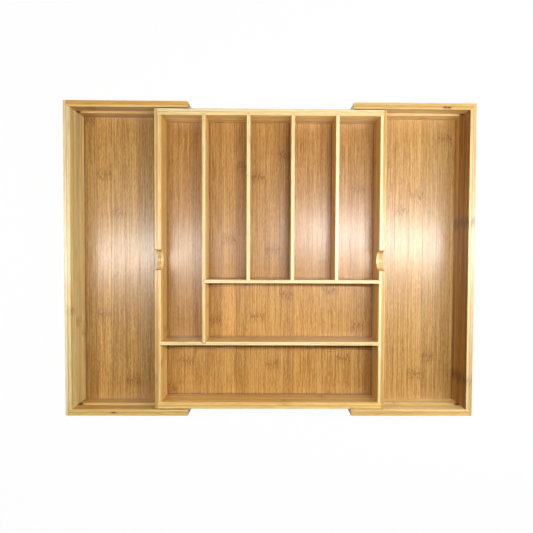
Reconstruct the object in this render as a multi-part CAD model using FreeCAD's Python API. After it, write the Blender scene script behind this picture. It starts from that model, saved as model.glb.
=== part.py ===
import FreeCAD, Part
import os

# Expanding bamboo cutlery organiser: a divided tray between two wings that slide out to either side.
# Millimetres. X runs from left to right, Y from front to back, Z up. The origin is the middle of the
# footprint, on the surface that the wings stand on. The wings are drawn at full reach.

# Overall sizes
tray_width = 327.0
tray_depth = 424.6
height = 56.0
wing_length = 174.0  # end wall's outer face to the free ends of the rails
wing_overlap = 47.0  # length of rail that stays beside the tray at full reach

# Boards
wall = 9.0
divider = 5.0
tray_floor_thickness = 4.0
wing_floor_thickness = 4.0

# Tray layout
front_slot = 82.0  # front to back, inside the front compartment
middle_slot = 83.5  # front to back, inside the middle compartment
column_count = 5  # the long column and the short ones beside it, all of one width
tray_floor_rise = 7.5  # lower edge of the tray's walls to the underside of its floor
notch_radius = 14.0
notch_depth = 18.0

# Joints between boards
corner_lip = 4.0  # what a side wall keeps outside the end of the wall that it holds
tray_floor_groove = 4.0
wing_floor_rabbet = 4.5
nose_gap = 0.05  # glue line round a divider's rounded end

# Corner pins
pin_diameter = 1.2
pin_length = 16.0
pin_margin = 6.0  # from the rim, and from the floor, to a pin
pin_gap = 0.02

# Sliding fit
rail_gap = 1.2  # tray's outer face to the rail's inner face
floor_gap = 0.5  # wing's floor to the lower edge of the tray's walls
groove_rise = 21.0  # wing's floor to the ledge of the rail's groove
groove_height = 11.0
groove_depth = 4.5
stop_web = 8.0  # solid end of the rail that closes the groove
stop_gap = 0.2
slide_gap = 0.3  # above and below a slide block
block_back_gap = 0.5  # slide block's face to the back of the groove
block_housing = 2.0  # how far a slide block is let into the tray's wall
block_margin = 1.5  # side wall's lip to the end of a slide block

# Softened edges
edge_round = 0.8
corner_round = 1.5

# Worked out from the sizes above
half_width = tray_width / 2
half_depth = tray_depth / 2
inside_x = half_width - wall
inside_y = half_depth - wall
tray_bottom = wing_floor_thickness + floor_gap
floor_bottom = tray_bottom + tray_floor_rise
floor_top = floor_bottom + tray_floor_thickness
nose_radius = divider / 2
column = (2 * inside_x - (column_count - 1) * divider) / column_count
divider_x = [-inside_x + (i + 1) * column + (i + 0.5) * divider for i in range(column_count - 1)]
front_cross_y = -inside_y + front_slot + divider / 2
middle_cross_y = front_cross_y + middle_slot + divider
rail_end_x = half_width - wing_overlap
wing_end_x = rail_end_x + wing_length
rail_inner_y = half_depth + rail_gap
rail_outer_y = rail_inner_y + wall
groove_bottom = wing_floor_thickness + groove_rise
groove_top = groove_bottom + groove_height
pin_radius = pin_diameter / 2
pin_hole_radius = pin_radius + pin_gap
pin_inset = corner_lip + (wall - corner_lip) / 2  # outer face of a side wall to the pins behind its lip
up = FreeCAD.Vector(0, 0, 1)
tolerance = 1e-6  # for finding edges by where they lie


def block(xa, xb, ya, yb, za, zb):
    corner = FreeCAD.Vector(min(xa, xb), min(ya, yb), min(za, zb))
    return Part.makeBox(abs(xb - xa), abs(yb - ya), abs(zb - za), corner)


def edges_on(shape, *tests):
    # Edges whose ends all lie where every test says, such as ("Z", height).
    def lies(edge):
        return all(abs(getattr(v, axis) - value) < tolerance for v in edge.Vertexes for axis, value in tests)
    return [edge for edge in shape.Edges if lies(edge)]


def cut_away(shape, tools):
    for tool in tools:
        shape = shape.cut(tool)
    return shape


def nose_grooves(places):
    # Round upright bars on the tray's floor, which leave the grooves for the dividers' rounded ends.
    feet = [FreeCAD.Vector(x, y, floor_top) for x, y in places]
    return [Part.makeCylinder(nose_radius + nose_gap, height - floor_top, foot, up) for foot in feet]


def corner_pins(x, outer_y, low, radius):
    # Two pins driven in from the front or the back face, near one corner.
    inward = FreeCAD.Vector(0, -1 if outer_y > 0 else 1, 0)
    places = [FreeCAD.Vector(x, outer_y, z) for z in (low + pin_margin, height - pin_margin)]
    return [Part.makeCylinder(radius, pin_length, place, inward) for place in places]


def tray_pins(radius):
    x = half_width - pin_inset
    corners = [(side * x, end * half_depth) for side in (-1, 1) for end in (-1, 1)]
    return [pin for corner in corners for pin in corner_pins(*corner, floor_top, radius)]


def wing_pins(side, radius):
    x = side * (wing_end_x - pin_inset)
    ends = (-rail_outer_y, rail_outer_y)
    return [pin for end in ends for pin in corner_pins(x, end, wing_floor_thickness, radius)]


def end_board(outer_x, half_length, bottom):
    # A wall that runs front to back, with its two outer corners softened.
    inner_x = outer_x - (wall if outer_x > 0 else -wall)
    board = block(outer_x, inner_x, -half_length, half_length, bottom, height)
    tips = (-half_length, half_length)
    corners = [edge for tip in tips for edge in edges_on(board, ("X", outer_x), ("Y", tip))]
    return board.makeFillet(corner_round, corners)


def corner_rabbets(outer_x, half_length, bottom):
    # What is cut from such a wall at both ends, so that only a lip covers the wall that meets it.
    side = 1 if outer_x > 0 else -1
    inner_x = outer_x - side * wall
    lip_x = outer_x - side * corner_lip
    shoulder = half_length - wall
    return [block(inner_x, lip_x, end * shoulder, end * half_length, bottom, height) for end in (-1, 1)]


def finger_notch(outer_x):
    # Straight sides and a half-round bottom, cut right through the wall.
    side = 1 if outer_x > 0 else -1
    start = FreeCAD.Vector(outer_x - side * wall, 0, height - notch_depth + notch_radius)
    bottom = Part.makeCylinder(notch_radius, wall, start, FreeCAD.Vector(side, 0, 0))
    mouth = block(outer_x, start.x, -notch_radius, notch_radius, start.z, height)
    return bottom.fuse(mouth).removeSplitter()


def notch_edges(shape, face_x):
    # The outline of the finger notch on one face of the wall.
    reach = notch_radius + tolerance
    return [edge for edge in edges_on(shape, ("X", face_x)) if max(abs(v.Y) for v in edge.Vertexes) < reach]


def tray_side_wall(side, meeting):
    # meeting lists the Y of every cross divider that ends in this wall
    outer_x = side * half_width
    inner_x = side * inside_x
    floor_x = inner_x + side * tray_floor_groove
    floor_y = inside_y + tray_floor_groove
    shape = end_board(outer_x, half_depth, tray_bottom).cut(finger_notch(outer_x))
    rims = edges_on(shape, ("Z", height)) + notch_edges(shape, outer_x) + notch_edges(shape, inner_x)
    shape = shape.makeFillet(edge_round, rims)
    shape = cut_away(shape, corner_rabbets(outer_x, half_depth, tray_bottom))
    shape = shape.cut(block(inner_x, floor_x, -floor_y, floor_y, floor_bottom, floor_top))
    shape = cut_away(shape, nose_grooves([(inner_x, y) for y in meeting]))
    return cut_away(shape, tray_pins(pin_hole_radius))


def slide_block(side, end):
    # Let into the tray's wall, and reaching into the rail's groove, up to the groove's closed end.
    outer_x = side * (half_width - corner_lip - block_margin)
    inner_x = side * (rail_end_x + stop_web + stop_gap)
    root_y = end * (half_depth - block_housing)
    face_y = end * (rail_inner_y + groove_depth - block_back_gap)
    shape = block(outer_x, inner_x, root_y, face_y, groove_bottom + slide_gap, groove_top - slide_gap)
    return shape.makeChamfer(edge_round, edges_on(shape, ("Y", face_y)))


def tray_cross_wall(end, meeting):
    # The back wall (end 1) or the front wall (end -1); meeting lists the X of the dividers that end in it
    outer_y = end * half_depth
    inner_y = end * inside_y
    floor_y = inner_y + end * tray_floor_groove
    reach = half_width - corner_lip
    shape = block(-reach, reach, inner_y, outer_y, tray_bottom, height)
    rims = [edge for y in (inner_y, outer_y) for edge in edges_on(shape, ("Z", height), ("Y", y))]
    shape = shape.makeFillet(edge_round, rims)
    shape = shape.cut(block(-reach, reach, inner_y, floor_y, floor_bottom, floor_top))
    shape = cut_away(shape, [slide_block(side, end) for side in (-1, 1)])
    shape = cut_away(shape, nose_grooves([(x, inner_y) for x in meeting]))
    return cut_away(shape, tray_pins(pin_hole_radius))


def tray_floor():
    x = inside_x + tray_floor_groove
    y = inside_y + tray_floor_groove
    return block(-x, x, -y, y, floor_bottom, floor_top)


def divider_board(start, finish):
    # A thin board on the tray's floor, with a rounded nose at each end, centred on the face that it meets.
    a = FreeCAD.Vector(start[0], start[1], floor_top)
    b = FreeCAD.Vector(finish[0], finish[1], floor_top)
    along = (b - a).normalize() * nose_radius
    across = FreeCAD.Vector(-along.y, along.x, 0)
    outline = [
        Part.LineSegment(a + across, b + across).toShape(),
        Part.Arc(b + across, b + along, b - across).toShape(),
        Part.LineSegment(b - across, a - across).toShape(),
        Part.Arc(a - across, a - along, a + across).toShape(),
    ]
    board = Part.Face(Part.Wire(outline)).extrude(up * (height - floor_top))
    return board.makeFillet(edge_round, edges_on(board, ("Z", height)))


def long_divider():
    x = divider_x[0]
    board = divider_board((x, front_cross_y + divider / 2), (x, inside_y))
    return cut_away(board, nose_grooves([(x + divider / 2, middle_cross_y)]))


def short_divider(x):
    return divider_board((x, middle_cross_y + divider / 2), (x, inside_y))


def middle_cross_divider():
    board = divider_board((divider_x[0] + divider / 2, middle_cross_y), (inside_x, middle_cross_y))
    return cut_away(board, nose_grooves([(x, middle_cross_y + divider / 2) for x in divider_x[1:]]))


def front_cross_divider():
    board = divider_board((-inside_x, front_cross_y), (inside_x, front_cross_y))
    return cut_away(board, nose_grooves([(divider_x[0], front_cross_y + divider / 2)]))


def wing_end_wall(side):
    outer_x = side * wing_end_x
    inner_x = outer_x - side * wall
    shape = end_board(outer_x, rail_outer_y, 0)
    shape = shape.makeFillet(edge_round, edges_on(shape, ("Z", height)))
    shape = cut_away(shape, corner_rabbets(outer_x, rail_outer_y, 0))
    rabbet_x = inner_x + side * wing_floor_rabbet
    rabbet_y = rail_inner_y + wing_floor_rabbet
    shape = shape.cut(block(inner_x, rabbet_x, -rabbet_y, rabbet_y, 0, wing_floor_thickness))
    return cut_away(shape, wing_pins(side, pin_hole_radius))


def wing_rail(side, end):
    outer_x = side * (wing_end_x - corner_lip)
    free_x = side * rail_end_x
    inner_y = end * rail_inner_y
    outer_y = end * rail_outer_y
    shape = block(outer_x, free_x, inner_y, outer_y, 0, height)
    uprights = [edge for y in (inner_y, outer_y) for edge in edges_on(shape, ("X", free_x), ("Y", y))]
    shape = shape.makeFillet(edge_round, uprights)
    rims = [edge for edge in edges_on(shape, ("Z", height)) if abs(edge.CenterOfMass.x - outer_x) > tolerance]
    shape = shape.makeFillet(edge_round, rims)
    stop_x = free_x + side * stop_web
    groove_y = inner_y + end * groove_depth
    shape = shape.cut(block(outer_x, stop_x, inner_y, groove_y, groove_bottom, groove_top))
    rabbet_y = inner_y + end * wing_floor_rabbet
    shape = shape.cut(block(outer_x, free_x, inner_y, rabbet_y, 0, wing_floor_thickness))
    return cut_away(shape, wing_pins(side, pin_hole_radius))


def wing_floor(side):
    outer_x = side * (wing_end_x - wall + wing_floor_rabbet)
    y = rail_inner_y + wing_floor_rabbet
    return block(outer_x, side * rail_end_x, -y, y, 0, wing_floor_thickness)


sides = {"left": -1, "right": 1}
ends = {"front": -1, "back": 1}

parts = {
    "tray_floor": tray_floor(),
    "tray_left_wall": tray_side_wall(-1, [front_cross_y]),
    "tray_right_wall": tray_side_wall(1, [front_cross_y, middle_cross_y]),
    "tray_back_wall": tray_cross_wall(1, divider_x),
    "tray_front_wall": tray_cross_wall(-1, []),
    "long_divider": long_divider(),
    "middle_cross_divider": middle_cross_divider(),
    "front_cross_divider": front_cross_divider(),
    "tray_corner_pins": Part.Compound(tray_pins(pin_radius)),
}
for number, x in enumerate(divider_x[1:], 1):
    parts[f"short_divider_{number}"] = short_divider(x)
for side_name, side in sides.items():
    parts[f"{side_name}_wing_floor"] = wing_floor(side)
    parts[f"{side_name}_wing_end_wall"] = wing_end_wall(side)
    parts[f"{side_name}_wing_corner_pins"] = Part.Compound(wing_pins(side, pin_radius))
    for end_name, end in ends.items():
        parts[f"{side_name}_wing_{end_name}_rail"] = wing_rail(side, end)
        parts[f"{side_name}_{end_name}_slide_block"] = slide_block(side, end)

os.makedirs("parts", exist_ok=True)
for name, shape in parts.items():
    shape.exportStep(f"parts/{name}.step")
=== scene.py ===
import math
import random

import bpy
from mathutils import Matrix, Vector


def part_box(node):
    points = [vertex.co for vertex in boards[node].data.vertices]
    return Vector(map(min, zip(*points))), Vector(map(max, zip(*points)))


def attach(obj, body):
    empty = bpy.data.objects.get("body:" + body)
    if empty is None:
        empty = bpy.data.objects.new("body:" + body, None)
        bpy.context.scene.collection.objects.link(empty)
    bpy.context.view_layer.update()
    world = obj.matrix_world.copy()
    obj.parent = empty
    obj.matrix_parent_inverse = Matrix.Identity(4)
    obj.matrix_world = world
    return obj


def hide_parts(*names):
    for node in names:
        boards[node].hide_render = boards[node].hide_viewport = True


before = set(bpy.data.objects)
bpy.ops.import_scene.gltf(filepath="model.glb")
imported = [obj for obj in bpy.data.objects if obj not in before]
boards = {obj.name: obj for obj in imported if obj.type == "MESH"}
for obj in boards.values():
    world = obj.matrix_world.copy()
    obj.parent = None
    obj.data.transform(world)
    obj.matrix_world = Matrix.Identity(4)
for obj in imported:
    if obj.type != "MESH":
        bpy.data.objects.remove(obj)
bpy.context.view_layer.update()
print("frame loaded:", len(boards), "CAD nodes")


# Colours are written as they look on screen, 0 to 255.
def paint(red, green, blue):
    parts = []
    for value in (red, green, blue):
        value = value / 255
        parts.append(value / 12.92 if value <= 0.04045 else ((value + 0.055) / 1.055) ** 2.4)
    return (*parts, 1.0)


def addNode(tree, kind, **settings):
    node = tree.nodes.new(kind)
    for name, value in settings.items():
        setattr(node, name, value)
    return node


def feed(tree, socket, value):
    if isinstance(value, bpy.types.NodeSocket):
        tree.links.new(value, socket)
    else:
        socket.default_value = value


def calc(tree, operation, *values):
    node = addNode(tree, "ShaderNodeMath", operation=operation)
    for socket, value in zip(node.inputs, values):
        feed(tree, socket, value)
    return node.outputs[0]


def ease(tree, value, start, end, low=0.0, high=1.0):
    node = addNode(tree, "ShaderNodeMapRange", interpolation_type="SMOOTHSTEP")
    for name, setting in (
        ("Value", value), ("From Min", start), ("From Max", end), ("To Min", low), ("To Max", high),
    ):
        feed(tree, node.inputs[name], setting)
    return node.outputs["Result"]


def pack3(tree, x, y, z):
    node = addNode(tree, "ShaderNodeCombineXYZ")
    for socket, value in zip(node.inputs, (x, y, z)):
        feed(tree, socket, value)
    return node.outputs[0]


def grain(tree, vector, detail=1.0):
    node = addNode(tree, "ShaderNodeTexNoise")
    feed(tree, node.inputs["Vector"], vector)
    node.inputs["Scale"].default_value = 1.0
    node.inputs["Detail"].default_value = detail
    return node.outputs[0]


def blendColours(tree, amount, first, second, blend="MIX"):
    node = addNode(tree, "ShaderNodeMix", data_type="RGBA", blend_type=blend)
    feed(tree, node.inputs[0], amount)
    feed(tree, node.inputs[6], first)
    feed(tree, node.inputs[7], second)
    return node.outputs[2]


# How bamboo fibres lie: counts per metre along and across the grain, and the knuckle's sizes in metres.
# Each layer of fibres has its own throw by the seed, its share of the whole and, if it is crisp, its edges.
fibreLook = {
    "layers": {
        "broad": {"counts": (2.5, 60.0), "throw": 2.3, "share": 0.26},
        "streak": {"counts": (5.0, 680.0), "throw": 3.1, "share": 0.20, "edges": (0.34, 0.66)},
        "thread": {"counts": (24.0, 1050.0), "throw": 5.3, "share": 0.18, "edges": (0.38, 0.62)},
        "speck": {"counts": (140.0, 950.0), "throw": 6.7, "share": 0.16, "edges": (0.34, 0.66)},
        "hair": {"counts": (10.0, 2200.0), "throw": 4.1, "share": 0.20},
    },
    "contrast": (0.26, 0.74),
    "dash": {"counts": (50.0, 900.0), "throw": 7.9, "edges": (0.60, 0.72)},
    "sway": (85.0, 170.0),
    "swayReach": 0.003,
    "strayCount": 300.0,
    "knuckleTooth": 0.0028,
    "knuckleRise": 0.0040,
    "knuckleStray": 0.008,
    "knuckleLine": (0.0002, 0.0014),
    "knuckleBreak": {"counts": (70.0, 430.0), "throw": 1.3, "edges": (0.36, 0.56)},
    "knuckleDash": {"counts": (170.0, 520.0), "throw": 1.7, "edges": (0.52, 0.64)},
    "knuckleHeight": 0.0105,
    "clusterCore": 0.3,
    "clusterStrength": 0.9,
    "knuckleReach": (0.002, 0.015),
}


def makeBambooGrain(look):
    tree = bpy.data.node_groups.new("bambooGrain", "ShaderNodeTree")
    for name in ("along", "across", "depth", "seed", "knuckle"):
        tree.interface.new_socket(name=name, in_out="INPUT", socket_type="NodeSocketFloat")
    for name in ("fibre", "dash", "knuckleMark", "knuckleBand", "relief"):
        tree.interface.new_socket(name=name, in_out="OUTPUT", socket_type="NodeSocketFloat")
    source = addNode(tree, "NodeGroupInput")
    along, across, depth, seed, knuckle = [source.outputs[i] for i in range(5)]

    # fibres waver a little as they pass a knuckle
    band = ease(tree, calc(tree, "ABSOLUTE", knuckle), *look["knuckleReach"], 1.0, 0.0)
    swayRun = calc(tree, "MULTIPLY", along, look["sway"][0])
    swayRise = calc(tree, "MULTIPLY", across, look["sway"][1])
    sway = calc(tree, "SUBTRACT", grain(tree, pack3(tree, swayRun, swayRise, seed)), 0.5)
    sway = calc(tree, "MULTIPLY", calc(tree, "MULTIPLY", sway, band), look["swayReach"])
    across = calc(tree, "ADD", across, sway)

    def layer(part):
        start = calc(tree, "MULTIPLY", seed, part["throw"])
        run = calc(tree, "MULTIPLY_ADD", along, part["counts"][0], start)
        rise = calc(tree, "MULTIPLY_ADD", across, part["counts"][1], seed)
        value = grain(tree, pack3(tree, run, rise, calc(tree, "MULTIPLY", depth, part["counts"][1])))
        return ease(tree, value, *part["edges"]) if "edges" in part else value

    # a knuckle is a broken row of small teeth across the strip, in a cluster of short dashes
    strays = [calc(tree, "MULTIPLY", value, look["strayCount"]) for value in (across, depth)]
    stray = calc(tree, "SUBTRACT", grain(tree, pack3(tree, seed, *strays)), 0.5)
    teeth = calc(tree, "ADD", calc(tree, "DIVIDE", across, look["knuckleTooth"]), seed)
    teeth = calc(tree, "PINGPONG", teeth, 1.0)
    shift = calc(tree, "MULTIPLY", calc(tree, "SUBTRACT", teeth, 0.5), look["knuckleRise"])
    row = calc(tree, "ADD", knuckle, calc(tree, "MULTIPLY_ADD", stray, look["knuckleStray"], shift))
    row = ease(tree, calc(tree, "ABSOLUTE", row), *look["knuckleLine"], 1.0, 0.0)
    row = calc(tree, "MULTIPLY", row, layer(look["knuckleBreak"]))
    height = look["knuckleHeight"]
    cluster = calc(tree, "ABSOLUTE", calc(tree, "MULTIPLY_ADD", stray, height, knuckle))
    cluster = ease(tree, cluster, height * look["clusterCore"], height, look["clusterStrength"], 0.0)
    cluster = calc(tree, "MULTIPLY", cluster, layer(look["knuckleDash"]))
    mark = calc(tree, "MAXIMUM", row, cluster)

    fibre = 0.0
    for part in look["layers"].values():
        fibre = calc(tree, "MULTIPLY_ADD", layer(part), part["share"], fibre)
    fibre = ease(tree, fibre, *look["contrast"])
    dash = layer(look["dash"])
    relief = calc(tree, "SUBTRACT", fibre, calc(tree, "ADD", dash, mark))

    result = addNode(tree, "NodeGroupOutput")
    for socket, value in zip(result.inputs, (fibre, dash, mark, band, relief)):
        tree.links.new(value, socket)
    return tree


bambooGrain = makeBambooGrain(fibreLook)


# Lays each pair of fibre colours, dark and light, over the last one wherever its mask says.
def layFibres(tree, fibre, layers):
    colour = None
    for (dark, light), mask in layers:
        tone = blendColours(tree, fibre, dark, light)
        colour = blendColours(tree, mask, colour, tone) if colour else tone
    return colour


def scaleColour(tree, colour, value):
    node = addNode(tree, "ShaderNodeHueSaturation")
    feed(tree, node.inputs["Color"], colour)
    feed(tree, node.inputs["Value"], value)
    return node.outputs[0]


# What every bamboo surface shares: where a rim, an end or a paler rounded arris begins, the pores, and the
# bumps in the lacquer.
surfaceLook = {
    "rimLean": (0.55, 0.85),
    "endLean": (0.75, 0.95, 0.0, 0.85),
    "endRoughness": 0.35,
    "arrisLean": (0.72, 0.99, 1.0, 0.0),
    "arrisRoughness": 0.10,
    "poreScale": 1100.0,
    "poreScatter": 0.8,
    "poreDots": (0.18, 0.42, 0.6, 1.0),
    "bumpHeight": 0.0002,
    "rippleScale": 360.0,
    "index": 1.45,
}


# Lacquered bamboo. The look holds what a kind of board shares, and build gives the colours and the run
# of the grain.
def makeBamboo(name, look, build):
    material = bpy.data.materials.new(name)
    material.use_nodes = True
    tree = material.node_tree
    shader = tree.nodes["Principled BSDF"]
    place = addNode(tree, "ShaderNodeTexCoord")
    split = addNode(tree, "ShaderNodeSeparateXYZ")
    tree.links.new(place.outputs["Object"], split.inputs[0])
    coords = build(tree, {"X": split.outputs[0], "Y": split.outputs[1], "Z": split.outputs[2]})
    facing = addNode(tree, "ShaderNodeNewGeometry")
    toObject = addNode(
        tree, "ShaderNodeVectorTransform", vector_type="NORMAL", convert_from="WORLD", convert_to="OBJECT"
    )
    normal = addNode(tree, "ShaderNodeSeparateXYZ")
    tree.links.new(facing.outputs["True Normal"], toObject.inputs[0])
    tree.links.new(toObject.outputs[0], normal.inputs[0])
    lean = {axis: calc(tree, "ABSOLUTE", normal.outputs[i]) for i, axis in enumerate("XYZ")}

    fibres = addNode(tree, "ShaderNodeGroup", node_tree=bambooGrain)
    for socketName in ("along", "across", "depth", "seed", "knuckle"):
        feed(tree, fibres.inputs[socketName], coords[socketName])
    fibre = fibres.outputs["fibre"]

    # broad faces are browner than the sanded rims
    colour = layFibres(tree, fibre, coords["faces"])
    faint = 1.0
    if "rims" in coords:
        colour = scaleColour(tree, colour, coords["bands"])
        onRim = ease(tree, lean["Z"], *surfaceLook["rimLean"])
        colour = blendColours(tree, onRim, colour, layFibres(tree, fibre, coords["rims"]))
        faint = ease(tree, onRim, 0.0, 1.0, 1.0, look["rimMarks"])
    colour = scaleColour(tree, colour, coords["value"])
    for key, amount, tint in (
        ("knuckleBand", look["bandShade"], look["bandTint"]),
        ("dash", look["dashes"], look["dash"]),
        ("knuckleMark", look["knuckles"], look["knuckle"]),
    ):
        strength = calc(tree, "MULTIPLY", calc(tree, "MULTIPLY", fibres.outputs[key], amount), faint)
        colour = blendColours(tree, strength, colour, paint(*tint))
    for mask, amount, tint in coords["lines"]:
        colour = blendColours(tree, calc(tree, "MULTIPLY", mask, amount), colour, paint(*tint))

    # end grain where the surface faces along the fibres, and paler rounded edges, partly wear and partly a
    # painted highlight
    pores = addNode(tree, "ShaderNodeTexVoronoi", feature="F1")
    tree.links.new(place.outputs["Object"], pores.inputs["Vector"])
    pores.inputs["Scale"].default_value = surfaceLook["poreScale"]
    pores.inputs["Randomness"].default_value = surfaceLook["poreScatter"]
    poreDots = ease(tree, pores.outputs["Distance"], *surfaceLook["poreDots"])
    endColour = blendColours(tree, 1.0, paint(*look["end"]), poreDots, "MULTIPLY")
    endFace = ease(tree, lean[look["along"]], *surfaceLook["endLean"])
    colour = blendColours(tree, endFace, colour, endColour)
    largest = calc(tree, "MAXIMUM", calc(tree, "MAXIMUM", lean["X"], lean["Y"]), lean["Z"])
    arris = ease(tree, largest, *surfaceLook["arrisLean"])
    colour = blendColours(tree, calc(tree, "MULTIPLY", arris, look["edgeWearAndHighlight"]), colour, paint(*look["pale"]))
    tree.links.new(colour, shader.inputs["Base Color"])

    rough = calc(tree, "MULTIPLY_ADD", fibres.outputs["relief"], -look["roughSwing"], look["roughness"])
    rough = calc(tree, "MULTIPLY_ADD", arris, surfaceLook["arrisRoughness"], rough)
    rough = calc(tree, "MULTIPLY_ADD", endFace, surfaceLook["endRoughness"], rough)
    tree.links.new(rough, shader.inputs["Roughness"])
    bump = addNode(tree, "ShaderNodeBump")
    bump.inputs["Strength"].default_value = look["bump"]
    bump.inputs["Distance"].default_value = surfaceLook["bumpHeight"]
    tree.links.new(fibres.outputs["relief"], bump.inputs["Height"])
    tree.links.new(bump.outputs[0], shader.inputs["Normal"])
    if "ripple" in look:
        # thick lacquer dries with a slight ripple of its own
        spread = addNode(tree, "ShaderNodeVectorMath", operation="SCALE")
        tree.links.new(place.outputs["Object"], spread.inputs[0])
        spread.inputs["Scale"].default_value = surfaceLook["rippleScale"]
        peel = addNode(tree, "ShaderNodeBump")
        peel.inputs["Strength"].default_value = look["ripple"]
        peel.inputs["Distance"].default_value = surfaceLook["bumpHeight"]
        tree.links.new(grain(tree, spread.outputs[0]), peel.inputs["Height"])
        tree.links.new(peel.outputs[0], shader.inputs["Coat Normal"])
    shader.inputs["IOR"].default_value = surfaceLook["index"]
    shader.inputs["Coat Weight"].default_value = look["lacquer"]
    shader.inputs["Coat Roughness"].default_value = look["lacquerRoughness"]
    shader.inputs["Coat IOR"].default_value = look["lacquerIndex"]
    return material


# Walls, rails and dividers: solid boards of two plies, glued face to face on a darker line.
boardLook = {
    "stretch": 0.4,
    "dash": (128, 84, 36),
    "dashes": 0.30,
    "knuckle": (122, 62, 4),
    "knuckles": 0.65,
    "rimMarks": 0.45,
    "bandShade": 0.06,
    "bandTint": (128, 84, 36),
    "scar": (100, 36, 0),
    "end": (204, 160, 92),
    "pale": (246, 216, 146),
    "edgeWearAndHighlight": 0.32,
    "roughness": 0.48,
    "roughSwing": 0.06,
    "lacquer": 0.5,
    "lacquerRoughness": 0.30,
    "lacquerIndex": 1.5,
    "bump": 0.2,
    "strip": 0.0212,
    "stripStart": 0.004,
    "seedThrow": 9.0,
    "lowStripTop": 0.017,
    "ledgeTop": 0.040,
    "upperRim": 0.050,
    "grooveEnd": (0.2755, 0.2800),
    "grooveRange": (0.0245, 0.0365),
    "stripTone": 0.14,
    "bandCounts": (3.0, 130.0),
    "bandEdges": (0.3, 0.7),
    "bands": 0.15,
    "glueLine": 0.26,
    "glueSpread": (0.0003, 0.0014),
    "knuckleSpacing": 0.41,
    "knuckleStep": 0.020,
    "knuckleThrow": 7.0,
    "notchEdge": (0.0005, 0.0013),
    "notchEdgeShade": 0.6,
    "noseEdge": (0.0004, 0.0011),
    "noseLine": 0.65,
    "grooveEndShade": 0.85,
    "scarHeart": 0.3,
    "scarHalo": (6.0, 0.35),
    "scarCore": (1.3, 0.92),
}

# Bamboo differs from board to board: each tint is the colour of its dark and of its light fibres.
boardTints = {
    "chalk": ((214, 184, 118), (246, 227, 178)),
    "pale": ((208, 169, 98), (242, 215, 160)),
    "cream": ((208, 162, 88), (242, 205, 142)),
    "wheat": ((199, 155, 78), (230, 192, 121)),
    "amber": ((188, 140, 50), (219, 184, 114)),
    "honey": ((188, 133, 48), (228, 177, 98)),
    "tan": ((180, 135, 58), (216, 174, 96)),
    "straw": ((177, 140, 68), (213, 180, 112)),
    "olive": ((173, 144, 78), (209, 190, 136)),
    "russet": ((152, 84, 4), (238, 170, 60)),
}

slideBlock = {"along": "X", "rim": ("amber", 0.95), "face": ("tan", 0.95)}
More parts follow.
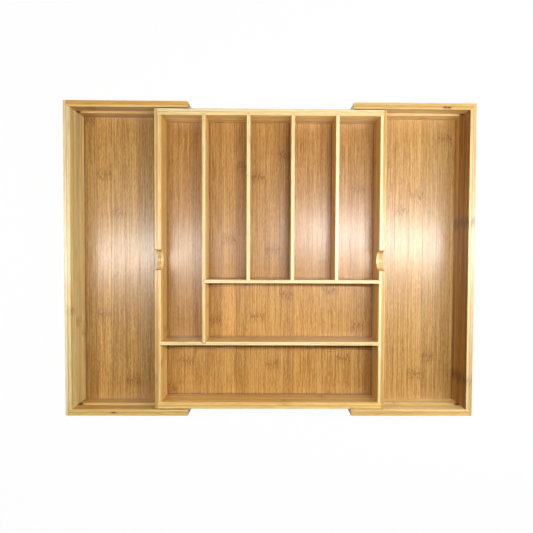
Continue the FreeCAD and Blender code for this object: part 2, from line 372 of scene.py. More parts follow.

# Each board: run of the grain, tint and brightness of its rim and of its faces, and its own draw of the
# pattern. Some have an outer ply or an outer side of another tint, a ledge, a lighter lowest strip, the joint
# round the nose of a divider, knuckles in known places, or scars at x, y with half their length and width.
# A value that is in boardLook too takes its place for that board.
# painted light and shade: each board's face brightness was matched to its inner face as the lamps lit it, so
# it partly paints the light and shade that face stood in
boardSet = {
    "tray_left_wall": {
        "along": "Y", "rim": ("cream", 0.90), "outerPly": ("amber", 0.84), "face": ("straw", 1.28),
        "notch": 0.014, "seed": 1.3,
    },
    "tray_right_wall": {
        "along": "Y", "rim": ("chalk", 0.91), "outerPly": ("amber", 0.97), "face": ("tan", 1.0),
        "notch": 0.014, "seed": 2.9,
    },
    "tray_back_wall": {
        "along": "X", "rim": ("pale", 0.88), "outerPly": ("chalk", 0.83), "face": ("straw", 1.12),
        "outside": ("wheat", 0.95), "glueLine": 0.12, "seed": 3.1,
    },
    "tray_front_wall": {
        "along": "X", "rim": ("wheat", 1.04), "face": ("tan", 0.98), "outside": ("wheat", 1.0), "seed": 4.7,
    },
    "long_divider": {
        "along": "Y", "rim": ("pale", 0.93), "face": ("straw", 1.27), "glueLine": 0.05,
        "noses": ["middle_cross_divider"], "seed": 5.2,
    },
    "short_divider_1": {
        "along": "Y", "rim": ("chalk", 0.93), "face": ("straw", 1.15), "glueLine": 0.05, "seed": 6.6,
    },
    "short_divider_2": {
        "along": "Y", "rim": ("chalk", 0.86), "face": ("honey", 0.90), "glueLine": 0.05, "seed": 7.4,
    },
    "short_divider_3": {
        "along": "Y", "rim": ("chalk", 0.97), "face": ("honey", 0.93), "glueLine": 0.05, "seed": 8.8,
    },
    "middle_cross_divider": {
        "along": "X", "rim": ("chalk", 0.82), "face": ("tan", 1.12), "glueLine": 0.05, "seed": 9.5,
    },
    "front_cross_divider": {
        "along": "X", "rim": ("chalk", 0.90), "face": ("straw", 1.12), "glueLine": 0.05,
        "noses": ["long_divider"], "seed": 10.1,
    },
    "left_wing_end_wall": {
        "along": "Y", "rim": ("pale", 0.91), "outerPly": ("chalk", 0.85), "face": ("olive", 1.20),
        "lowStrip": ("olive", 1.40), "outside": ("wheat", 1.02), "knuckleAt": -0.112, "seed": 11.9,
    },
    # painted shade: this rail's free end is darker, partly darker end grain and partly the shade that end
    # stands in
    "left_wing_back_rail": {
        "along": "X", "rim": ("amber", 1.06), "outerPly": ("honey", 1.0), "ledge": ("cream", 0.84),
        "face": ("honey", 0.60), "outside": ("wheat", 0.92), "end": (128, 92, 46), "seed": 12.4,
    },
    # painted shade: this rail's free end is darker, partly darker end grain and partly the shade that end
    # stands in
    "left_wing_front_rail": {
        "along": "X", "rim": ("straw", 1.23), "ledge": ("wheat", 1.0), "face": ("tan", 0.79),
        "outside": ("wheat", 0.98), "end": (110, 80, 40), "seed": 13.8,
        "scars": [(-0.2222, -0.2177, 0.0034, 0.0010)],
    },
    # painted shade: this wall's inner face is painted dark russet for the shade it stands in, turned away
    # from the strongest lamps, while its outer side is wheat
    "right_wing_end_wall": {
        "along": "Y", "rim": ("pale", 0.73), "face": ("russet", 0.42), "lowStrip": ("honey", 0.60),
        "outside": ("wheat", 0.94), "glueLine": 0.18, "bands": 0.40, "seed": 14.2,
        "knuckle": (58, 22, 0), "knuckles": 0.95, "bandShade": 0.32, "bandTint": (78, 34, 0),
        "knuckleAt": 0.055, "knuckleStep": 0.0, "knuckleSpacing": 0.2273,
    },
    "right_wing_back_rail": {
        "along": "X", "rim": ("wheat", 0.91), "ledge": ("pale", 0.98), "face": ("straw", 1.04),
        "outside": ("wheat", 1.0), "end": (222, 190, 140), "seed": 15.5,
        "scars": [(0.2455, 0.2162, 0.0027, 0.0013), (0.2512, 0.2161, 0.0027, 0.0013)],
    },
    # painted shade: this rail's free end is darker, partly darker end grain and partly the shade that end
    # stands in
    "right_wing_front_rail": {
        "along": "X", "rim": ("wheat", 0.98), "ledge": ("wheat", 0.98), "face": ("olive", 1.30),
        "outside": ("wheat", 0.96), "end": (110, 80, 40), "seed": 16.3,
    },
    "left_back_slide_block": dict(slideBlock, seed=17.7),
    "left_front_slide_block": dict(slideBlock, seed=18.1),
    "right_back_slide_block": dict(slideBlock, seed=19.6),
    "right_front_slide_block": dict(slideBlock, seed=20.9),
}


def tinted(tint, brightness):
    pair = [paint(*fibres)[:3] for fibres in boardTints[tint]]
    return [tuple(min(0.98, part * brightness) for part in fibres) + (1.0,) for fibres in pair]


def makeBoardFinish(nodeName, settings):
    low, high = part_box(nodeName)
    alongAxis, seed = settings["along"], settings["seed"]
    acrossAxis = "Y" if alongAxis == "X" else "X"
    index = "XYZ".index(acrossAxis)
    middle = (low[index] + high[index]) / 2
    inward = -1.0 if middle > 0 else 1.0
    look = dict(boardLook, along=alongAxis)
    look.update({key: value for key, value in settings.items() if key in boardLook})
    spacing = look["knuckleSpacing"]

    def build(tree, axes):
        def squared(axis, at, reach=1.0):
            away = calc(tree, "SUBTRACT", axes[axis], at)
            return calc(tree, "POWER", calc(tree, "DIVIDE", away, reach), 2.0)

        offset = calc(tree, "MULTIPLY", calc(tree, "SUBTRACT", axes[acrossAxis], middle), inward)
        inner = calc(tree, "GREATER_THAN", offset, 0.0)
        outer = calc(tree, "LESS_THAN", offset, 0.0)
        row = calc(tree, "DIVIDE", calc(tree, "ADD", axes["Z"], look["stripStart"]), look["strip"])
        row = calc(tree, "FLOOR", row)
        draw = addNode(tree, "ShaderNodeTexWhiteNoise", noise_dimensions="3D")
        tree.links.new(pack3(tree, row, inner, seed), draw.inputs["Vector"])
        chance = draw.outputs["Value"]
        # each strip's knuckles start from its own place, unless the board's are known
        if "knuckleAt" in settings:
            start = calc(tree, "MULTIPLY_ADD", row, look["knuckleStep"], settings["knuckleAt"])
            push = calc(tree, "SUBTRACT", 0.5, calc(tree, "DIVIDE", start, spacing))
        else:
            push = calc(tree, "MULTIPLY", chance, look["knuckleThrow"])
        run = calc(tree, "ADD", calc(tree, "DIVIDE", axes[alongAxis], spacing), push)
        knuckle = calc(tree, "MULTIPLY", calc(tree, "SUBTRACT", calc(tree, "FRACT", run), 0.5), spacing)
        glue = ease(tree, calc(tree, "ABSOLUTE", offset), *look["glueSpread"], 1.0 - look["glueLine"], 1.0)
        tone = calc(tree, "MULTIPLY_ADD", chance, look["stripTone"], 1.0 - look["stripTone"] / 2)
        # bundles of fibre run along the faces as lighter and darker bands
        bandRun = calc(tree, "MULTIPLY", axes[alongAxis], look["bandCounts"][0])
        bandRise = calc(tree, "MULTIPLY", axes["Z"], look["bandCounts"][1])
        bands = grain(tree, pack3(tree, bandRun, bandRise, seed))
        bands = ease(tree, bands, *look["bandEdges"], 1.0 - look["bands"], 1.0 + look["bands"])

        rims = [(tinted(*settings["rim"]), None)]
        if "outerPly" in settings:
            rims.append((tinted(*settings["outerPly"]), outer))
        if "ledge" in settings:
            rims.append((tinted(*settings["ledge"]), calc(tree, "LESS_THAN", axes["Z"], look["ledgeTop"])))
        faces = [(tinted(*settings["face"]), None)]
        if "outside" in settings:
            faces.append((tinted(*settings["outside"]), outer))
        if "lowStrip" in settings:
            lowest = calc(tree, "LESS_THAN", axes["Z"], look["lowStripTop"])
            faces.append((tinted(*settings["lowStrip"]), lowest))

        upper = calc(tree, "GREATER_THAN", axes["Z"], look["upperRim"])
        lines = []
        if "notch" in settings:
            # painted shade: the steep ends of the finger notch are painted darker, for the shadow that falls
            # on them
            away = calc(tree, "SUBTRACT", calc(tree, "ABSOLUTE", axes["Y"]), settings["notch"])
            notchShadow = ease(tree, calc(tree, "ABSOLUTE", away), *look["notchEdge"], 1.0, 0.0)
            lines.append((calc(tree, "MULTIPLY", notchShadow, upper), look["notchEdgeShade"], look["knuckle"]))
        for divider in settings.get("noses", []):
            # the joint round the nose of a divider that starts in this board
            start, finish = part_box(divider)
            thick = min(finish.x - start.x, finish.y - start.y)
            nose = start + Vector((thick, thick, 0)) / 2
            apart = calc(tree, "SQRT", calc(tree, "ADD", squared("X", nose.x), squared("Y", nose.y)))
            apart = calc(tree, "ABSOLUTE", calc(tree, "SUBTRACT", apart, thick / 2))
            ring = ease(tree, apart, *look["noseEdge"], 1.0, 0.0)
            lines.append((calc(tree, "MULTIPLY", ring, upper), look["noseLine"], look["knuckle"]))
        if "ledge" in settings:
            # painted shade: inside, the groove's end at the end wall is painted as a dark gap, for the shadow
            # deep in it
            gap = ease(tree, calc(tree, "ABSOLUTE", axes["X"]), *look["grooveEnd"])
            gap = calc(tree, "MULTIPLY", gap, inner)
            for operation, height in zip(("GREATER_THAN", "LESS_THAN"), look["grooveRange"]):
                gap = calc(tree, "MULTIPLY", gap, calc(tree, operation, axes["Z"], height))
            lines.append((gap, look["grooveEndShade"], look["scar"]))
        for x, y, halfLong, halfWide in settings.get("scars", []):
            # a scar is a dark core in a soft brown halo
            spread = calc(tree, "ADD", squared("X", x, halfLong), squared("Y", y, halfWide))
            shades = ((look["scarHalo"], look["knuckle"]), (look["scarCore"], look["scar"]))
            for (edge, strength), tint in shades:
                spot = ease(tree, spread, look["scarHeart"], edge, 1.0, 0.0)
                lines.append((calc(tree, "MULTIPLY", spot, upper), strength, tint))
        return {
            "along": calc(tree, "MULTIPLY", axes[alongAxis], look["stretch"]),
            "across": axes["Z"],
            "depth": offset,
            "seed": calc(tree, "MULTIPLY_ADD", chance, look["seedThrow"], seed),
            "knuckle": knuckle,
            "value": calc(tree, "MULTIPLY", glue, tone),
            "bands": bands,
            "rims": rims,
            "faces": faces,
            "lines": lines,
        }

    return makeBamboo(nodeName + "Bamboo", look, build)


for nodeName, settings in boardSet.items():
    board = boards[nodeName]
    finish = makeBoardFinish(nodeName, settings)
    if board.data.materials:
        board.data.materials[0] = finish
    else:
        board.data.materials.append(finish)
print("boards finished:", len(boardSet))


# Floors: strips of bamboo glued edge to edge, with a fine line at each joint.
floorLook = {
    "along": "Y",
    "dash": (122, 72, 24),
    "dashes": 0.35,
    "knuckle": (124, 74, 0),
    "knuckles": 0.80,
    "bandShade": 0.14,
    "bandTint": (122, 72, 24),
    "jointLine": 0.28,
    "jointEdge": (0.0002, 0.0009),
    "patchCount": 22.0,
    "patchDetail": 2.0,
    "patchEdges": (0.40, 0.62),
    "seedThrow": 31.0,
    # painted shade: the dark shadow line at the foot of the boards, and the soft painted shadow on their left
    "footLine": 0.60,
    "footReach": (0.0003, 0.0034),
    "end": (150, 104, 54),
    "pale": (200, 156, 96),
    "edgeWearAndHighlight": 0.2,
    "roughness": 0.48,
    "roughSwing": 0.015,
    "lacquer": 1.0,
    "lacquerRoughness": 0.27,
    "lacquerIndex": 1.45,
    "ripple": 0.8,
    "bump": 0.03,
    "stripTone": 0.22,
    "foot": (96, 52, 16),
    "sideShadowReach": 0.012,
    "sideShadowTint": (104, 50, 8),
}

# Each floor: its fibre colours, one joint from which its strips are counted, its draws, the knuckles along
# each strip, and the boards that stand on it, with how much painted foot shadow is left on their lit side
# and how strong a painted shadow lies on their left.
floorSet = {
    "trayFloor": {
        "node": "tray_floor",
        "body": "tray",
        "slot": "tray_floor_bamboo",
        "dark": (149, 99, 26),
        "light": (189, 146, 80),
        "value": 1.06,
        "joint": -0.0940,
        "seed": 21,
        "toneDraw": 1040,
        "knuckles": {
            0: [-0.1935], 1: [-0.1532], 3: [-0.091], 4: [0.0301], 5: [0.1381], 6: [-0.0848, 0.1235],
            7: [-0.1575, 0.0154], 8: [-0.0529, 0.1548], 11: [-0.0451], 12: [-0.1474], 13: [-0.0995, 0.1058],
        },
        "feet": [
            "tray_left_wall", "tray_right_wall", "tray_front_wall", "long_divider", "short_divider_1",
            "short_divider_2", "short_divider_3", "middle_cross_divider", "front_cross_divider",
        ],
        "litSideFootShadow": 0.45,
        "sideShadow": 0.30,
    },
    "leftWingFloor": {
        "node": "left_wing_floor",
        "body": "left_wing",
        "slot": "wing_floor_bamboo",
        "dark": (147, 100, 28),
        "light": (193, 152, 84),
        "value": 1.0,
        "joint": -0.2410,
        "seed": 34,
        "toneDraw": 30938,
        "knuckles": {0: [0.2092], 1: [-0.084, 0.1269], 2: [0.0698], 3: [-0.1838]},
        "feet": ["left_wing_end_wall"],
        "litSideFootShadow": 1.0,
        "sideShadow": 0.0,
    },
    "rightWingFloor": {
        "node": "right_wing_floor",
        "body": "right_wing",
        "slot": "wing_floor_bamboo",
        "dark": (156, 109, 40),
        "light": (194, 155, 91),
        "value": 1.04,
        "joint": 0.2543,
        "seed": 55,
        "toneDraw": 29915,
        "knuckles": {4: [0.0752], 5: [-0.1739, 0.0996], 6: [-0.1475], 7: [0.1863]},
        "feet": ["right_wing_end_wall"],
        "litSideFootShadow": 1.0,
        "sideShadow": 0.0,
    },
}

stripShape = {"width": 0.0215, "least": 0.3, "gap": 0.00012, "round": 0.00018, "coreInset": 0.0003}


def makeFloorFinish(name, settings):
    look = floorLook

    def build(tree, axes):
        def stripValue(key):
            return addNode(tree, "ShaderNodeAttribute", attribute_name=key).outputs["Fac"]

        def past(axis, least, most):
            apart = calc(tree, "ABSOLUTE", calc(tree, "SUBTRACT", axes[axis], (least + most) / 2))
            return calc(tree, "SUBTRACT", apart, (most - least) / 2)

        chance = stripValue("stripTone")
        tone = calc(tree, "MULTIPLY_ADD", chance, look["stripTone"], 1.0 - look["stripTone"] / 2)
        # the joint between two strips shows in some places and closes up in others
        reach = calc(tree, "ABSOLUTE", calc(tree, "SUBTRACT", axes["X"], stripValue("stripCentre")))
        gap = calc(tree, "SUBTRACT", calc(tree, "MULTIPLY", stripValue("stripWidth"), 0.5), reach)
        patchRun = calc(tree, "MULTIPLY", axes["Y"], look["patchCount"])
        patches = grain(tree, pack3(tree, chance, patchRun, settings["seed"]), look["patchDetail"])
        joint = ease(tree, gap, *look["jointEdge"], 1.0, 0.0)
        joint = calc(tree, "MULTIPLY", joint, ease(tree, patches, *look["patchEdges"]))
        # painted shade: a dark shadow line runs along the foot of each board that stands on the floor; beside
        # the boards that run along Y it is weaker on their lit right side, and a soft painted shadow lies on
        # their left
        foot, sideShadow = 0.0, 0.0
        for nodeName in settings["feet"]:
            start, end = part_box(nodeName)
            spread = calc(tree, "MAXIMUM", past("X", start.x, end.x), past("Y", start.y, end.y))
            near = ease(tree, spread, *look["footReach"], 1.0, 0.0)
            if end.y - start.y > end.x - start.x:
                lit = calc(tree, "GREATER_THAN", axes["X"], (start.x + end.x) / 2)
                fade = calc(tree, "MULTIPLY_ADD", lit, settings["litSideFootShadow"] - 1.0, 1.0)
                near = calc(tree, "MULTIPLY", near, fade)
                soft = ease(tree, spread, 0.0, look["sideShadowReach"], 1.0, 0.0)
                soft = calc(tree, "MULTIPLY", soft, calc(tree, "SUBTRACT", 1.0, lit))
                sideShadow = calc(tree, "MAXIMUM", sideShadow, soft)
            foot = calc(tree, "MAXIMUM", foot, near)
        # a strip has one knuckle or two, and the nearer one counts
        first = calc(tree, "SUBTRACT", axes["Y"], stripValue("stripKnuckle"))
        second = calc(tree, "SUBTRACT", axes["Y"], stripValue("stripSecondKnuckle"))
        closer = calc(tree, "LESS_THAN", calc(tree, "ABSOLUTE", second), calc(tree, "ABSOLUTE", first))
        nearer = addNode(tree, "ShaderNodeMix", data_type="FLOAT")
        for index, value in ((0, closer), (2, first), (3, second)):
            feed(tree, nearer.inputs[index], value)
        return {
            "along": axes["Y"],
            "across": axes["X"],
            "depth": axes["Z"],
            "seed": calc(tree, "MULTIPLY_ADD", chance, look["seedThrow"], settings["seed"]),
            "knuckle": nearer.outputs[0],
            "value": calc(tree, "MULTIPLY", tone, settings["value"]),
            "faces": [((paint(*settings["dark"]), paint(*settings["light"])), None)],
            "lines": [
                (joint, look["jointLine"], look["dash"]),
                (sideShadow, settings["sideShadow"], look["sideShadowTint"]),
                (foot, look["footLine"], look["foot"]),
            ],
        }

    return makeBamboo(name + "Bamboo", look, build)


def newTree(name, inputs):
    tree = bpy.data.node_groups.new(name, "GeometryNodeTree")
    tree.interface.new_socket(name="Geometry", in_out="INPUT", socket_type="NodeSocketGeometry")
    keys = {}
    for label, kind in inputs:
        keys[label] = tree.interface.new_socket(name=label, in_out="INPUT", socket_type=kind).identifier
    tree.interface.new_socket(name="Geometry", in_out="OUTPUT", socket_type="NodeSocketGeometry")
    source = addNode(tree, "NodeGroupInput")
    return tree, keys, source


def makeStripTree():
    tree, keys, source = newTree("laminatedFloor", [
        ("Strip width", "NodeSocketFloat"),
        ("Joint gap", "NodeSocketFloat"),
        ("Length", "NodeSocketFloat"),
        ("Thickness", "NodeSocketFloat"),
        ("Edge round", "NodeSocketFloat"),
        ("Core centre", "NodeSocketVector"),
        ("Core size", "NodeSocketVector"),
        ("Finish", "NodeSocketMaterial"),
    ])
    wire = tree.links.new
    points = addNode(tree, "GeometryNodeMeshToPoints")
    wire(source.outputs["Geometry"], points.inputs["Mesh"])

    # one strip: a rounded section swept along the grain
    half = calc(tree, "MULTIPLY", source.outputs["Length"], 0.5)
    line = addNode(tree, "GeometryNodeCurvePrimitiveLine")
    wire(pack3(tree, 0.0, calc(tree, "MULTIPLY", half, -1.0), 0.0), line.inputs["Start"])
    wire(pack3(tree, 0.0, half, 0.0), line.inputs["End"])
    upright = addNode(tree, "GeometryNodeSetCurveNormal", mode="Z_UP")
    wire(line.outputs[0], upright.inputs["Curve"])
    section = addNode(tree, "GeometryNodeCurvePrimitiveQuadrilateral")
    sectionWidth = calc(tree, "SUBTRACT", source.outputs["Strip width"], source.outputs["Joint gap"])
    wire(sectionWidth, section.inputs["Width"])
    wire(source.outputs["Thickness"], section.inputs["Height"])
    rounded = addNode(tree, "GeometryNodeFilletCurve", mode="POLY")
    rounded.inputs["Count"].default_value = 2
    wire(section.outputs[0], rounded.inputs["Curve"])
    wire(source.outputs["Edge round"], rounded.inputs["Radius"])
    strip = addNode(tree, "GeometryNodeCurveToMesh")
    wire(upright.outputs[0], strip.inputs["Curve"])
    wire(rounded.outputs[0], strip.inputs["Profile Curve"])
    strip.inputs["Fill Caps"].default_value = True

    width = addNode(tree, "GeometryNodeInputNamedAttribute", data_type="FLOAT")
    width.inputs["Name"].default_value = "stripWidth"
    stretch = calc(tree, "DIVIDE", width.outputs["Attribute"], source.outputs["Strip width"])
    laid = addNode(tree, "GeometryNodeInstanceOnPoints")
    wire(points.outputs[0], laid.inputs["Points"])
    wire(strip.outputs[0], laid.inputs["Instance"])
    wire(pack3(tree, stretch, 1.0, 1.0), laid.inputs["Scale"])

    # a thin core behind the joints keeps the panel closed
    core = addNode(tree, "GeometryNodeMeshCube")
    wire(source.outputs["Core size"], core.inputs["Size"])
    coreAt = addNode(tree, "GeometryNodeTransform")
    wire(core.outputs[0], coreAt.inputs["Geometry"])
    wire(source.outputs["Core centre"], coreAt.inputs["Translation"])
    together = addNode(tree, "GeometryNodeJoinGeometry")
    wire(coreAt.outputs[0], together.inputs[0])
    wire(laid.outputs[0], together.inputs[0])
    flat = addNode(tree, "GeometryNodeSetShadeSmooth")
    wire(together.outputs[0], flat.inputs[0])
    flat.inputs["Shade Smooth"].default_value = False
    real = addNode(tree, "GeometryNodeRealizeInstances")
    wire(flat.outputs[0], real.inputs[0])
    finished = addNode(tree, "GeometryNodeSetMaterial")
    wire(real.outputs[0], finished.inputs["Geometry"])
    wire(source.outputs["Finish"], finished.inputs["Material"])
    result = addNode(tree, "NodeGroupOutput")
    wire(finished.outputs[0], result.inputs[0])
    return tree, keys


def pointMesh(name, points, attributes):
    mesh = bpy.data.meshes.new(name)
    mesh.from_pydata(points, [], [])
    for key, values in attributes.items():
        layer = mesh.attributes.new(key, "FLOAT", "POINT")
        layer.data.foreach_set("value", values)
    return mesh


# Runs the tree once and keeps its result as a plain mesh.
def runTree(name, mesh, tree, keys, values):
    maker = bpy.data.objects.new(name + "Maker", mesh)
    bpy.context.scene.collection.objects.link(maker)
    modifier = maker.modifiers.new(tree.name, "NODES")
    modifier.node_group = tree
    for label, value in values.items():
        modifier[keys[label]] = value
    graph = bpy.context.evaluated_depsgraph_get()
    made = bpy.data.meshes.new_from_object(maker.evaluated_get(graph), depsgraph=graph)
    maker.modifiers.remove(modifier)
    bpy.data.objects.remove(maker)
    bpy.data.meshes.remove(mesh)
    piece = bpy.data.objects.new(name, made)
    bpy.context.scene.collection.objects.link(piece)
    return piece


stripTree, stripKeys = makeStripTree()


def layFloor(name, settings):
    low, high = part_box(settings["node"])
    wide = stripShape["width"]
    least = wide * stripShape["least"]  # a narrower sliver at the edge joins its neighbour
    joint = settings["joint"]
    while joint - wide > low.x + least:
        joint -= wide
    edges = [low.x]
    while joint < high.x - least:
        edges.append(joint)
        joint += wide
    edges.append(high.x)
    chance = random.Random(settings["toneDraw"])
    middle = (low + high) / 2
    unseen = [high.y + 2 * fibreLook["knuckleReach"][1]]
    points, widths, tones, knuckles, others = [], [], [], [], []
    for index, (left, right) in enumerate(zip(edges, edges[1:])):
        points.append(((left + right) / 2, middle.y, middle.z))
        widths.append(right - left)
        tones.append(chance.random())
        places = settings["knuckles"].get(index, unseen)
        knuckles.append(places[0])
        others.append(places[-1])
    centres = [point[0] for point in points]
    mesh = pointMesh(name + "Points", points, {
        "stripWidth": widths, "stripCentre": centres, "stripTone": tones,
        "stripKnuckle": knuckles, "stripSecondKnuckle": others,
    })
    inset = stripShape["coreInset"]
    size = high - low
    piece = runTree(name, mesh, stripTree, stripKeys, {
        "Strip width": wide,
        "Joint gap": stripShape["gap"],
        "Length": size.y,
        "Thickness": size.z,
        "Edge round": stripShape["round"],
        "Core centre": tuple(middle),
        "Core size": (size.x - inset, size.y - inset, size.z - 2 * inset),
        "Finish": makeFloorFinish(name, settings),
    })
    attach(piece, settings["body"])
    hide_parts(settings["node"])
    print(name, "laid with", len(points), "strips,", len(piece.data.polygons), "faces")
    return piece


for name, settings in floorSet.items():
    layFloor(name, settings)


# Corner pins: plain steel nails driven flush through the corner joints.
pinShape = {"length": 0.016, "radius": 0.0006, "chamfer": 0.0002, "sides": 14, "merge": 0.00001}
pinLook = {
    "dark": (112, 104, 92),
    "light": (176, 170, 158),
    "dullScale": 2600.0,
    "dullDetail": 3.0,
    "roughness": (0.2, 0.8, 0.5, 0.3),
}
pinSet = {
    "trayCornerPins": {"node": "tray_corner_pins", "body": "tray"},
    "leftWingCornerPins": {"node": "left_wing_corner_pins", "body": "left_wing"},
    "rightWingCornerPins": {"node": "right_wing_corner_pins", "body": "right_wing"},
}


def makePinFinish(look):
    material = bpy.data.materials.new("pinSteel")
    material.use_nodes = True
    tree = material.node_tree
    shader = tree.nodes["Principled BSDF"]
    place = addNode(tree, "ShaderNodeTexCoord")
    dull = addNode(tree, "ShaderNodeTexNoise")
    tree.links.new(place.outputs["Object"], dull.inputs["Vector"])
    dull.inputs["Scale"].default_value = look["dullScale"]
    dull.inputs["Detail"].default_value = look["dullDetail"]
    colour = blendColours(tree, dull.outputs[0], paint(*look["dark"]), paint(*look["light"]))
    tree.links.new(colour, shader.inputs["Base Color"])
    tree.links.new(ease(tree, dull.outputs[0], *look["roughness"]), shader.inputs["Roughness"])
    shader.inputs["Metallic"].default_value = 1.0
    return material


def makePinTree():
    tree, keys, source = newTree("cornerPins", [
        ("Length", "NodeSocketFloat"),
        ("Radius", "NodeSocketFloat"),
        ("Chamfer", "NodeSocketFloat"),
        ("Sides", "NodeSocketInt"),
        ("Finish", "NodeSocketMaterial"),
    ])
    wire = tree.links.new
    points = addNode(tree, "GeometryNodeMeshToPoints")
    wire(source.outputs["Geometry"], points.inputs["Mesh"])
    shank = addNode(tree, "GeometryNodeMeshCone")
    head = addNode(tree, "GeometryNodeMeshCone")
    straight = calc(tree, "SUBTRACT", source.outputs["Length"], source.outputs["Chamfer"])
    small = calc(tree, "SUBTRACT", source.outputs["Radius"], source.outputs["Chamfer"])
    sizes = ((shank, source.outputs["Radius"], straight), (head, small, source.outputs["Chamfer"]))
    for part, top, tall in sizes:
        wire(source.outputs["Sides"], part.inputs["Vertices"])
        wire(top, part.inputs["Radius Top"])
        wire(source.outputs["Radius"], part.inputs["Radius Bottom"])
        wire(tall, part.inputs["Depth"])
    raised = addNode(tree, "GeometryNodeTransform")
    wire(head.outputs[0], raised.inputs["Geometry"])
    wire(pack3(tree, 0.0, 0.0, straight), raised.inputs["Translation"])
    pin = addNode(tree, "GeometryNodeJoinGeometry")
    wire(raised.outputs[0], pin.inputs[0])
    wire(shank.outputs[0], pin.inputs[0])
    joined = addNode(tree, "GeometryNodeMergeByDistance")
    wire(pin.outputs[0], joined.inputs[0])
    joined.inputs["Distance"].default_value = pinShape["merge"]
    turn = addNode(tree, "GeometryNodeInputNamedAttribute", data_type="FLOAT")
    turn.inputs["Name"].default_value = "pinTurn"
    driven = addNode(tree, "GeometryNodeInstanceOnPoints")
    wire(points.outputs[0], driven.inputs["Points"])
    wire(joined.outputs[0], driven.inputs["Instance"])
    wire(pack3(tree, turn.outputs["Attribute"], 0.0, 0.0), driven.inputs["Rotation"])
    real = addNode(tree, "GeometryNodeRealizeInstances")
    wire(driven.outputs[0], real.inputs[0])
    finished = addNode(tree, "GeometryNodeSetMaterial")
    wire(real.outputs[0], finished.inputs["Geometry"])
    wire(source.outputs["Finish"], finished.inputs["Material"])
    result = addNode(tree, "NodeGroupOutput")
    wire(finished.outputs[0], result.inputs[0])
    return tree, keys


pinTree, pinKeys = makePinTree()
pinFinish = makePinFinish(pinLook)

for name, settings in pinSet.items():
    low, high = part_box(settings["node"])
    radius = pinShape["radius"]
    points, turns = [], []
    # a wing has pins at its outer end only, so its two columns are one
    for x in sorted({round(low.x + radius, 5), round(high.x - radius, 5)}):
        for z in (low.z + radius, high.z - radius):
            # the shank starts inside the board and its head ends at the outer face
            points.append((x, low.y + pinShape["length"], z))
            turns.append(math.pi / 2)
            points.append((x, high.y - pinShape["length"], z))
            turns.append(-math.pi / 2)
    pins = runTree(name, pointMesh(name + "Points", points, {"pinTurn": turns}), pinTree, pinKeys, {
        "Length": pinShape["length"],
        "Radius": radius,
        "Chamfer": pinShape["chamfer"],
        "Sides": pinShape["sides"],
        "Finish": pinFinish,
    })
    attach(pins, settings["body"])
    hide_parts(settings["node"])
    print(name, "driven:", len(points))


# A white table that sweeps up into a backdrop: it takes the object's shadow, and is close to white
# for the camera.
sweepShape = {"flat": 2.5, "bend": 1.0, "top": 4.5, "drop": 0.0004, "sides": 72, "steps": 10}
sweepLook = {"grey": (236, 236, 236), "white": 0.97}


def makeSweep(shape):
    rings = [(shape["flat"], 0.0)]
    for step in range(1, shape["steps"] + 1):
        angle = math.pi / 2 * step / shape["steps"]
        reach = shape["flat"] + shape["bend"] * math.sin(angle)
        rings.append((reach, shape["bend"] * (1 - math.cos(angle))))
    rings.append((shape["flat"] + shape["bend"], shape["top"]))
    sides = shape["sides"]
    points = [(0.0, 0.0, -shape["drop"])]
    for radius, height in rings:
        for side in range(sides):
            angle = 2 * math.pi * side / sides
            points.append((radius * math.cos(angle), radius * math.sin(angle), height - shape["drop"]))
    faces = [(0, 1 + side, 1 + (side + 1) % sides) for side in range(sides)]
    for ring in range(len(rings) - 1):
        start = 1 + ring * sides
        for side in range(sides):
            after = (side + 1) % sides
            faces.append((start + side, start + sides + side, start + sides + after, start + after))
    mesh = bpy.data.meshes.new("whiteSweep")
    mesh.from_pydata(points, [], faces)
    mesh.polygons.foreach_set("use_smooth", [True] * len(mesh.polygons))
    sweep = bpy.data.objects.new("whiteSweep", mesh)
    bpy.context.scene.collection.objects.link(sweep)
    return sweep


def makeSweepFinish(look):
    material = bpy.data.materials.new("sweepWhite")
    material.use_nodes = True
    tree = material.node_tree
    tree.nodes.remove(tree.nodes["Principled BSDF"])
    matte = addNode(tree, "ShaderNodeBsdfDiffuse")
    matte.inputs["Color"].default_value = paint(*look["grey"])
    glow = addNode(tree, "ShaderNodeEmission")
    glow.inputs["Strength"].default_value = 1.0
    path = addNode(tree, "ShaderNodeLightPath")
    seen = calc(tree, "MAXIMUM", path.outputs["Is Camera Ray"], path.outputs["Is Glossy Ray"])
    seen = calc(tree, "MAXIMUM", seen, path.outputs["Is Transmission Ray"])
    either = addNode(tree, "ShaderNodeMixShader")
    tree.links.new(calc(tree, "MULTIPLY", seen, look["white"]), either.inputs[0])
    tree.links.new(matte.outputs[0], either.inputs[1])
    tree.links.new(glow.outputs[0], either.inputs[2])
    tree.links.new(either.outputs[0], tree.nodes["Material Output"].inputs["Surface"])
    return material


sweep = makeSweep(sweepShape)
sweep.data.materials.append(makeSweepFinish(sweepLook))

roomLook = {"ambient": 0.04}
room = bpy.data.worlds.new("dimRoom")
room.use_nodes = True
room.node_tree.nodes["Background"].inputs["Color"].default_value = (1.0, 1.0, 1.0, 1.0)
room.node_tree.nodes["Background"].inputs["Strength"].default_value = roomLook["ambient"]
bpy.context.scene.world = room

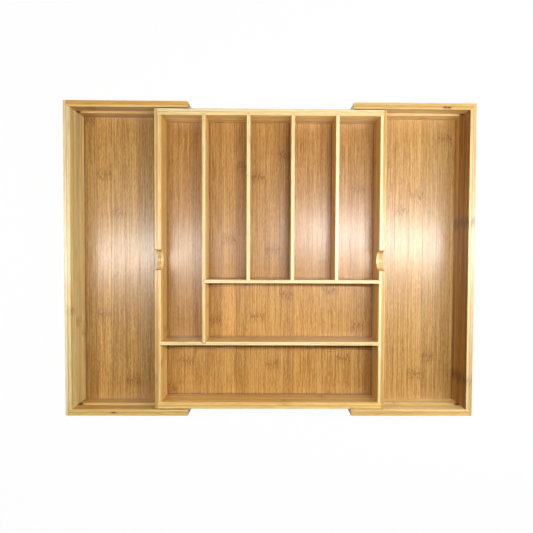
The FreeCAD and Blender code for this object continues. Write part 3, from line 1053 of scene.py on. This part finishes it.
# Three long narrow lamps hang in a row over the tray, the right one strongest. Softer ones stand at the
# right, at the left and behind, the last two so low that they reach the outer sides only.
sideways = math.pi / 2
lampSet = {
    "rightLamp": {
        "at": (0.330, 0.0471, 0.566), "size": (0.516, 0.0125), "watts": 4.1, "tilt": 0.0, "turn": -0.09,
    },
    "middleLamp": {
        "at": (-0.053, 0.028, 0.566), "size": (0.25, 0.0125), "watts": 0.18, "tilt": 0.0, "turn": -0.09,
    },
    "leftLamp": {
        "at": (-0.356, 0.0097, 0.566), "size": (0.356, 0.0125), "watts": 2.25, "tilt": 0.0, "turn": 0.06,
    },
    "sideLamp": {
        "at": (1.2, 0.0, 0.6), "size": (0.6, 0.6), "watts": 7.0, "tilt": 1.107, "turn": 0.0,
    },
    "leftFill": {
        "at": (-1.6, 0.0, 0.12), "size": (0.2, 1.0), "watts": 5.0, "tilt": -sideways, "turn": 0.0,
    },
    "backFill": {
        "at": (0.0, 1.5, 0.12), "size": (0.2, 1.0), "watts": 5.0, "tilt": -sideways, "turn": -sideways,
    },
}
for name, settings in lampSet.items():
    lamp = bpy.data.lights.new(name, "AREA")
    lamp.shape = "RECTANGLE"
    lamp.size, lamp.size_y = settings["size"]
    lamp.energy = settings["watts"]
    holder = bpy.data.objects.new(name, lamp)
    holder.location = settings["at"]
    holder.rotation_euler = (0.0, settings["tilt"], settings["turn"])
    holder.visible_camera = False
    bpy.context.scene.collection.objects.link(holder)

# The photograph was taken from straight above, with a slight tilt.
cameraLook = {
    "at": (-0.00331, 0.00753, 0.71593),
    "tilt": (0.0302, 0.0119, -0.0041),
    "lens": 31.49,
    "sensor": 36.0,
    "shift": (-0.01313, 0.0048),
}
lens = bpy.data.cameras.new("photoCamera")
lens.sensor_width = cameraLook["sensor"]
lens.lens = cameraLook["lens"]
lens.shift_x, lens.shift_y = cameraLook["shift"]
photoCamera = bpy.data.objects.new("photoCamera", lens)
tiltX, tiltY, tiltZ = cameraLook["tilt"]
turn = Matrix.Rotation(tiltZ, 3, "Z") @ Matrix.Rotation(tiltY, 3, "Y") @ Matrix.Rotation(tiltX, 3, "X")
photoCamera.matrix_world = Matrix.Translation(Vector(cameraLook["at"])) @ turn.transposed().to_4x4()
bpy.context.scene.collection.objects.link(photoCamera)
bpy.context.scene.camera = photoCamera
bpy.context.scene.view_settings.view_transform = "Standard"
print("table, lamps and camera set")
